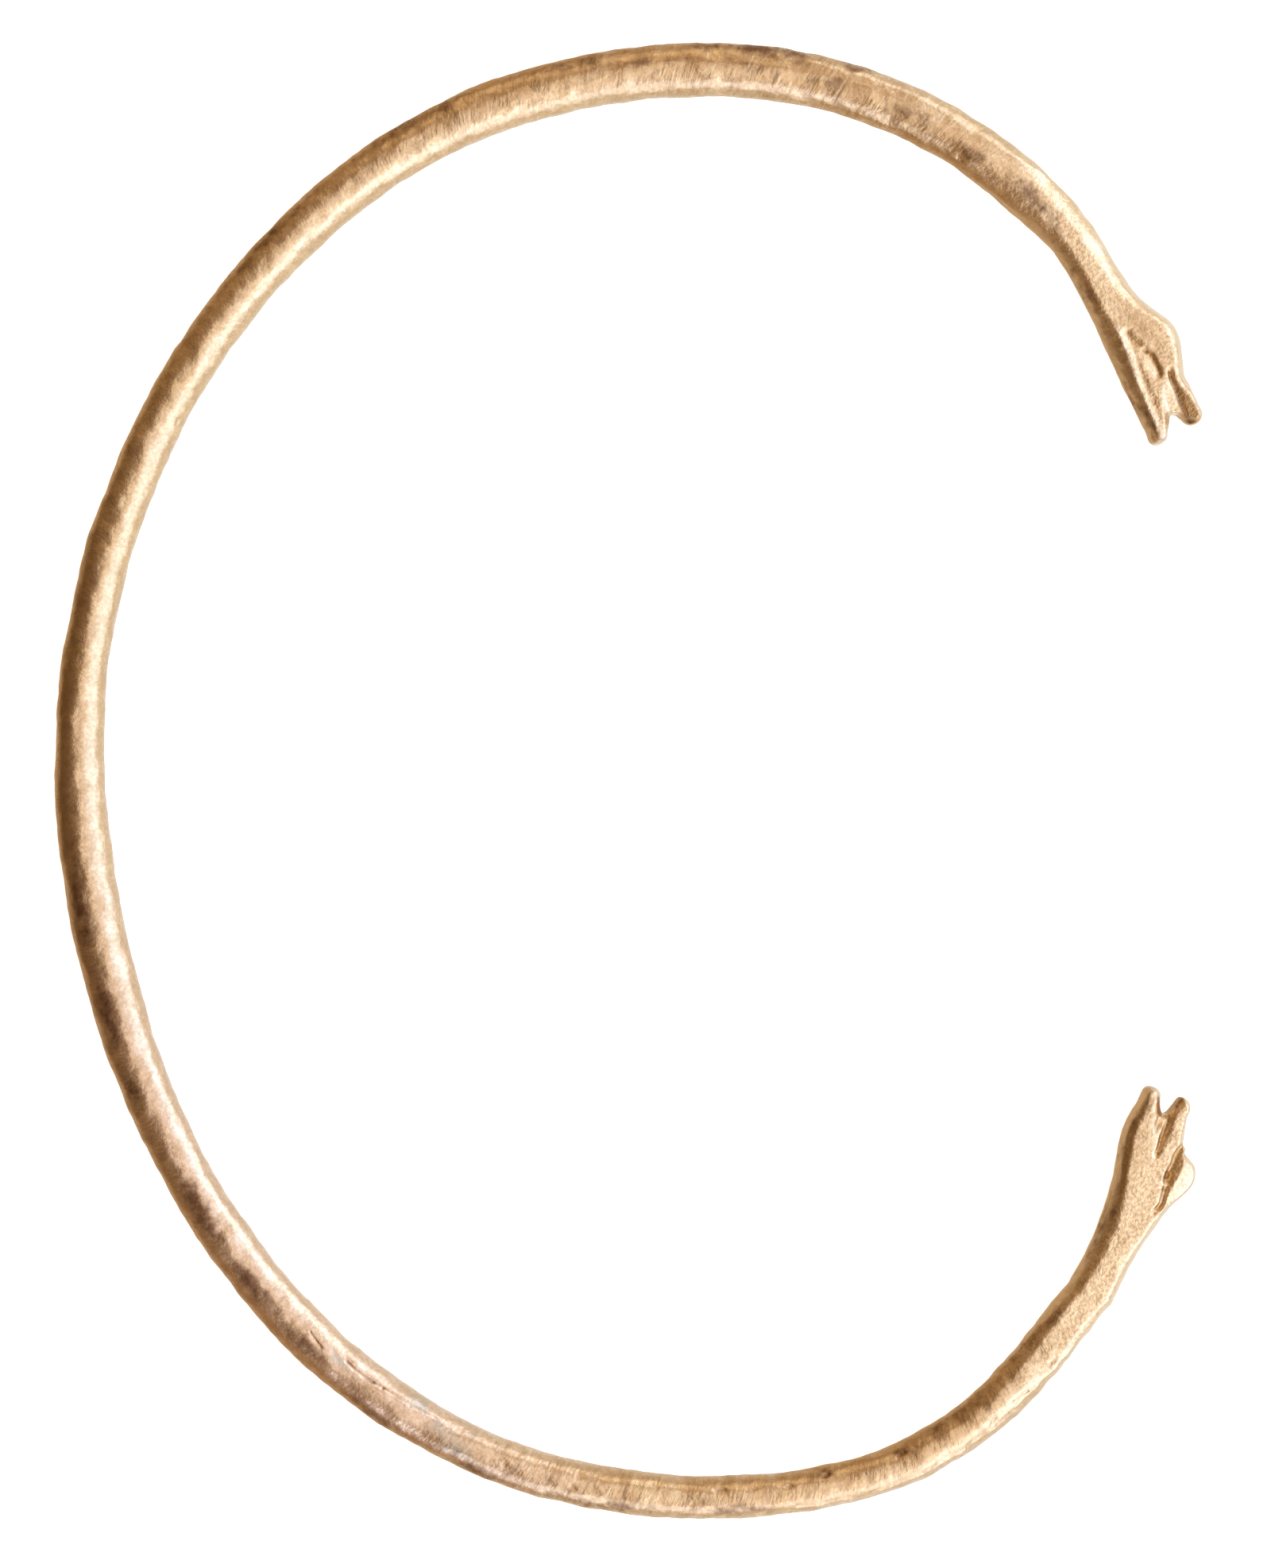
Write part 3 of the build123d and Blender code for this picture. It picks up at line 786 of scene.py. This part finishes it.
def bronze_material(finish):
    """Cast bronze: brushed and bright on the bar, sandy on the heads, brown where stained and
    where shade is painted into hollows.
    """
    material = bpy.data.materials.new("cast_bronze")
    material.use_nodes = True
    tree = material.node_tree
    shader = tree.nodes["Principled BSDF"].inputs
    shader["Metallic"].default_value = 1.0
    shader["Coat IOR"].default_value = finish.sheen_ior
    shader["Coat Roughness"].default_value = finish.sheen_roughness

    tone = {name: (*getattr(finish, name), 1) for name in TONES}
    mask = {name: place_node(tree, "ShaderNodeAttribute", attribute_name=name).outputs["Fac"]
            for name in MASKS}
    bar_place = place_node(tree, "ShaderNodeAttribute", attribute_name="bar_place")
    coordinates = place_node(tree, "ShaderNodeTexCoord").outputs["Object"]
    to_mm = {"Vector": coordinates, "Scale": (1 / MM, 1 / MM, 1 / MM)}
    in_mm = place_node(tree, "ShaderNodeMapping", to_mm).outputs[0]

    grain = place_node(tree, "ShaderNodeGroup", node_tree=cast_grain_group())
    tree.links.new(in_mm, grain.inputs["Vector"])
    strokes = place_node(tree, "ShaderNodeGroup", node_tree=brush_strokes_group())
    tree.links.new(bar_place.outputs["Vector"], strokes.inputs["Bar place"])
    tarnish_and_shade = place_node(tree, "ShaderNodeGroup", node_tree=tarnish_and_shade_group())
    tree.links.new(in_mm, tarnish_and_shade.inputs["Vector"])
    tree.links.new(mask["patch"], tarnish_and_shade.inputs["Patch"])
    tree.links.new(mask["hollow"], tarnish_and_shade.inputs["Hollow"])
    grain, strokes, tarnish_and_shade = grain.outputs, strokes.outputs, tarnish_and_shade.outputs
    streaks = product(tree, strokes["Streaks"], mask["brushed"])
    # A golden drift of colour on the bar; on the heads' cheeks and necks, painted shade of their
    # soft hollows
    golden = product(tree, mask["golden"], ramp(tree, tarnish_and_shade["Clouds"], -0.6, 0.7))

    redder = math_node(tree, "MULTIPLY_ADD", tarnish_and_shade["Drift"], 0.5, mask["rosy"], clamp=True)
    bar = mix_colour(tree, redder, tone["gold"], tone["copper"])
    patterns = [(tarnish_and_shade["Clouds"], finish.clouds), (grain["Mottle"], finish.mottle),
                (grain["Blotches"], finish.blotches), (streaks, finish.streaks)]
    for pattern, share in patterns:
        bar = mix_colour(tree, product(tree, pattern, share), bar, tone["shade"])
    bar = mix_colour(tree, product(tree, golden, finish.drifts), bar, tone["amber"])
    # On the heads' sides this golden is painted shade in the cheeks' soft hollows
    sandy = mix_colour(tree, golden, tone["sand"], tone["amber"])
    sandy = mix_colour(tree, product(tree, grain["Mottle"], finish.grits), sandy, tone["grit"])
    sandy = mix_colour(tree, product(tree, grain["Specks"], finish.specks), sandy, tone["tarnish_and_shade"])

    colour = mix_colour(tree, mask["matte"], bar, sandy)
    grey = product(tree, mask["grey"], ramp(tree, tarnish_and_shade["Clouds"], 0.1, 0.6))
    # Pale edges: wear and painted light. Amber, then dark brown: painted shade in the heads'
    # hollows. Then stains with painted shade in hollows, and grey stains
    layers = [
        (product(tree, mask["worn"], finish.brightening), "worn"),
        (ramp(tree, mask["brown"], 0.0, 0.55), "amber"),
        (ramp(tree, mask["brown"], 0.35, 1.0), "tarnish_and_shade"),
        (product(tree, tarnish_and_shade["Mask"], finish.tarnish_and_shade_share), "tarnish_and_shade"),
        (grey, "grey"),
    ]
    for share, name in layers:
        colour = mix_colour(tree, share, colour, tone[name])
    tree.links.new(colour, shader["Base Color"])

    satin = math_node(tree, "MULTIPLY_ADD", grain["Mottle"], 0.08, finish.satin_roughness)
    sand = math_node(tree, "MULTIPLY_ADD", grain["Specks"], 0.12, finish.sand_roughness)
    rough = mix_value(tree, mask["matte"], satin, sand)
    rough = math_node(tree, "MULTIPLY_ADD", tarnish_and_shade["Mask"], 0.12, rough)
    tree.links.new(rough, shader["Roughness"])
    dull = math_node(tree, "MAXIMUM", tarnish_and_shade["Mask"], mask["brown"])
    sheen = math_node(tree, "MULTIPLY_ADD", dull, -0.8, 1.0, clamp=True)
    tree.links.new(sheen, shader["Coat Weight"])

    stroke_height = product(tree, strokes["Height"], mask["brushed"])
    grain_share = math_node(tree, "MULTIPLY_ADD", mask["matte"], 0.8, 0.7)
    grain_height = product(tree, grain["Height"], grain_share)
    height = math_node(tree, "MULTIPLY_ADD", stroke_height, 1.3, grain_height)
    relief = {"Height": height, "Strength": 1.0, "Distance": finish.bump_depth * MM}
    bump = place_node(tree, "ShaderNodeBump", relief)
    tree.links.new(bump.outputs[0], shader["Normal"])
    return material


def tint(name, description, value):
    """A property for a colour."""
    return FloatVectorProperty(
        name=name, description=description, subtype="COLOR", default=value)


def portion(name, description, value):
    """A property for a number from 0 to 1."""
    return FloatProperty(name=name, description=description, default=value, min=0, max=1)


class BraceletCasting(bpy.types.PropertyGroup):
    """Sizes of the worked casting, in millimetres."""
    voxel: FloatProperty(
        name="Mesh size", description="Side of a mesh cell, in millimetres",
        default=0.06, min=0.05, max=0.3)
    triangles: IntProperty(
        name="Triangles", description="Most triangles that the body keeps",
        default=188000, min=20000)
    lump: FloatProperty(
        name="Lumps", description="Height of the casting's slow lumps, in millimetres",
        default=0.062, min=0)
    roundness: FloatProperty(
        name="Section", description="2 for an oval bar, more for a squarer one",
        default=2.15, min=1.5)
    seed: IntProperty(
        name="Seed", description="Picks another run of lumps and dents", default=3)


class BraceletFinish(bpy.types.PropertyGroup):
    """Colours and roughness of the bronze."""
    gold: tint("Gold", "Bright bronze", (0.82, 0.60, 0.30))
    copper: tint("Copper", "Redder bronze", (0.78, 0.57, 0.40))
    shade: tint("Shade", "Metal down in the grain", (0.45, 0.268, 0.10))
    sand: tint("Sand", "Matte sides of the heads", (0.85, 0.618, 0.335))
    grit: tint("Grit", "Darker grains of the matte sides", (0.47, 0.285, 0.115))
    # Amber is a golden drift, and also painted shade in the heads' hollows and cheeks
    amber: tint("Amber", "Golden brown metal in hollows and drifts", (0.60, 0.365, 0.135))
    # This pale colour is wear on edges, and painted light on the neck, brow and filed bands
    worn: tint("Worn", "Edges rubbed bright", (0.95, 0.83, 0.64))
    # This dark brown is stains and specks, and also painted shade deep in hollows
    tarnish_and_shade: tint("Tarnish and shade", "Brown tarnish", (0.19, 0.09, 0.04))
    grey: tint("Grey", "Grey stain and silvery patches", (0.42, 0.38, 0.30))
    clouds: portion("Clouds", "How much soft clouds shade the bar", 0.34)
    mottle: portion("Mottle", "How much fine grain shades the bar", 0.40)
    blotches: portion("Blotches", "How much coarse grain shades the bar", 0.34)
    streaks: portion("Streaks", "How much brush strokes shade the bar", 0.44)
    drifts: portion("Golden drifts", "How much golden drifts colour the bar", 0.90)
    grits: portion("Gritty sides", "How much fine grain shades the heads' sides", 0.60)
    specks: portion("Specks", "How dark the specks on the heads' sides are", 0.20)
    # How much of the pale colour the edges brightened by wear and painted light show
    brightening: portion("Worn edges", "How much of their own colour the worn edges show", 0.7)
    # How much of the dark brown the stains and the painted shade of hollows show
    tarnish_and_shade_share: portion("Tarnished", "How much of its own colour the tarnish shows", 0.92)
    satin_roughness: portion("Satin", "Roughness of the brushed bar", 0.29)
    sand_roughness: portion("Sandiness", "Roughness of the heads' sides", 0.40)
    sheen_roughness: portion("Sheen roughness", "Roughness of the sheen on clean metal", 0.32)
    sheen_ior: FloatProperty(
        name="Sheen", description="Refraction of the sheen on clean metal",
        default=2.0, min=1)
    bump_depth: FloatProperty(
        name="Bump depth", description="Depth of strokes and grain, in millimetres",
        default=0.030, min=0)


class BraceletStage(bpy.types.PropertyGroup):
    """The table, the lights and the camera."""
    floor: tint("Floor", "Colour of the table", (0.95, 0.95, 0.95))
    floor_roughness: portion("Floor roughness", "Roughness of the table", 0.6)
    table_size: FloatProperty(
        name="Table size", description="Side of the table", default=4.0, unit="LENGTH")
    table_glow: FloatProperty(
        name="Table glow", description="Light that the table gives off", default=0.85, min=0)
    ambient: tint("Surroundings", "Colour of the dim room", (0.14, 0.075, 0.031))
    ambient_side: tint("Corners", "Room away from its dark wall", (0.42, 0.258, 0.128))
    below_left: tint("Low left", "Light from low down on the left", (0.63, 0.43, 0.245))
    below_right: tint("Low right", "Light from low down on the right", (1.0, 0.93, 0.83))
    key_power: FloatProperty(
        name="Key light", description="Power of the lamp on the right, for a square metre",
        default=4.4, unit="POWER")
    lens: FloatProperty(
        name="Lens", description="Focal length", default=135.0, subtype="DISTANCE_CAMERA")
    view_height: FloatProperty(
        name="View height", description="Length of table that fills the picture's height",
        default=0.0722, unit="LENGTH")


class BRACELET_OT_cast_body(bpy.types.Operator):
    """Cast the cuff's body over the CAD solid and work its surface"""
    bl_idname = "bracelet.cast_body"
    bl_label = "Cast body"

    def execute(self, context):
        sizes = context.scene.bracelet_casting
        voxel = sizes.voxel
        line = MiddleLine()
        mesh = filled_mesh(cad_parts["bracelet"], line)
        body = bpy.data.objects.new("cast_body", mesh)
        context.scene.collection.objects.link(body)
        round_and_carve(remesh(body, voxel), line, sizes.roundness)
        place = roughen(remesh(body, voxel), line, sizes)
        mesh = thin_out(body, line.past_neck(place) < DETAIL_START, sizes.triangles)
        mark_finish(mesh, line)

        mesh.transform(Matrix.Scale(MM, 4))
        mesh.shade_smooth()
        mesh.materials.clear()
        mesh.materials.append(bronze_material(context.scene.bracelet_finish))
        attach(body, "root")
        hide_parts("bracelet")
        return {"FINISHED"}


def lay_table(scene, stage):
    """Put down the pale table, which gives off some light of its own."""
    shape = bmesh.new()
    bmesh.ops.create_grid(shape, x_segments=1, y_segments=1, size=stage.table_size / 2)
    mesh = bpy.data.meshes.new("table")
    shape.to_mesh(mesh)
    shape.free()
    table = bpy.data.objects.new("table", mesh)
    scene.collection.objects.link(table)
    material = bpy.data.materials.new("table_white")
    material.use_nodes = True
    shader = material.node_tree.nodes["Principled BSDF"].inputs
    shader["Base Color"].default_value = (*stage.floor, 1)
    shader["Roughness"].default_value = stage.floor_roughness
    shader["Emission Color"].default_value = (*stage.floor, 1)
    shader["Emission Strength"].default_value = stage.table_glow
    mesh.materials.append(material)
    table.visible_glossy = False


def hang_lamps(scene, stage):
    """Hang the large soft lamps, each turned to the middle of the table."""
    for lamp in LAMPS:
        light = bpy.data.lights.new(lamp.name, "AREA")
        light.shape = "RECTANGLE"
        light.size, light.size_y = lamp.size
        light.energy = stage.key_power * lamp.share * lamp.size[0] * lamp.size[1]
        light.color = lamp.colour
        hung = bpy.data.objects.new(lamp.name, light)
        hung.location = lamp.place
        hung.visible_camera = False
        hung.rotation_euler = (-Vector(lamp.place)).to_track_quat("-Z", "Y").to_euler()
        scene.collection.objects.link(hung)


def light_room(scene, stage):
    """Give the room its dark far wall, its lighter corners and the light from low down."""
    world = bpy.data.worlds.new("dim_room")
    world.use_nodes = True
    tree = world.node_tree
    direction = place_node(tree, "ShaderNodeTexCoord").outputs["Generated"]
    level = place_node(tree, "ShaderNodeVectorMath", {0: direction, 1: (1, 1, 0)},
                       operation="MULTIPLY").outputs[0]
    bearing = place_node(tree, "ShaderNodeVectorMath", {0: level}, operation="NORMALIZE")
    across, away, _ = place_node(tree, "ShaderNodeSeparateXYZ", {0: bearing.outputs[0]}).outputs
    height = place_node(tree, "ShaderNodeSeparateXYZ", {0: direction}).outputs[2]
    nearer = math_node(tree, "MAXIMUM", product(tree, away, -0.3), 0.0)
    rightward = ramp(tree, math_node(tree, "ADD", across, nearer), -0.3, 0.5)
    below = mix_colour(tree, rightward, (*stage.below_left, 1), (*stage.below_right, 1))
    left_share, right_share = ramp(tree, height, -0.05, -0.85), ramp(tree, height, 0.32, -0.12)
    below_share = mix_value(tree, rightward, left_share, right_share)
    aside = ramp(tree, math_node(tree, "ABSOLUTE", away), 0.15, 0.80)
    room = mix_colour(tree, aside, (*stage.ambient, 1), (*stage.ambient_side, 1))
    around = mix_colour(tree, below_share, room, below)
    tree.links.new(around, tree.nodes["Background"].inputs["Color"])
    scene.world = world


def set_camera(scene, stage):
    """Look straight down with a long lens, a little off the frame's middle."""
    lens = bpy.data.cameras.new("camera")
    lens.lens = stage.lens
    lens.sensor_width = SENSOR_WIDTH
    lens.clip_start = 0.01
    camera = bpy.data.objects.new("camera", lens)
    distance = stage.view_height * stage.lens / lens.sensor_width
    camera.location = (*VIEW_CENTRE, HALF_HEIGHT * MM + distance)
    scene.collection.objects.link(camera)
    scene.camera = camera
    scene.view_settings.view_transform = "Standard"


class BRACELET_OT_lay_out_stage(bpy.types.Operator):
    """Lay out the pale table, the soft lights and the camera straight above"""
    bl_idname = "bracelet.lay_out_stage"
    bl_label = "Lay out stage"

    def execute(self, context):
        stage = context.scene.bracelet_stage
        for step in (lay_table, hang_lamps, light_room, set_camera):
            step(context.scene, stage)
        return {"FINISHED"}


class BRACELET_PT_panel(bpy.types.Panel):
    """The bracelet's sizes and steps"""
    bl_idname = "BRACELET_PT_panel"
    bl_label = "Cuff bracelet"
    bl_space_type = "VIEW_3D"
    bl_region_type = "UI"
    bl_category = "Bracelet"

    def draw(self, context):
        layout, scene = self.layout, context.scene
        for group in (scene.bracelet_casting, scene.bracelet_finish, scene.bracelet_stage):
            box = layout.box()
            for name in group.__annotations__:
                box.prop(group, name)
        for operator in (BRACELET_OT_cast_body, BRACELET_OT_lay_out_stage):
            layout.operator(operator.bl_idname)


CLASSES = (
    BraceletCasting,
    BraceletFinish,
    BraceletStage,
    BRACELET_OT_cast_body,
    BRACELET_OT_lay_out_stage,
    BRACELET_PT_panel,
)


def register():
    for item in CLASSES:
        bpy.utils.register_class(item)
    bpy.types.Scene.bracelet_casting = PointerProperty(type=BraceletCasting)
    bpy.types.Scene.bracelet_finish = PointerProperty(type=BraceletFinish)
    bpy.types.Scene.bracelet_stage = PointerProperty(type=BraceletStage)


def unregister():
    del bpy.types.Scene.bracelet_stage
    del bpy.types.Scene.bracelet_finish
    del bpy.types.Scene.bracelet_casting
    for item in reversed(CLASSES):
        bpy.utils.unregister_class(item)


def main():
    register()
    bpy.ops.bracelet.cast_body()
    bpy.ops.bracelet.lay_out_stage()


if __name__ == "__main__":
    main()
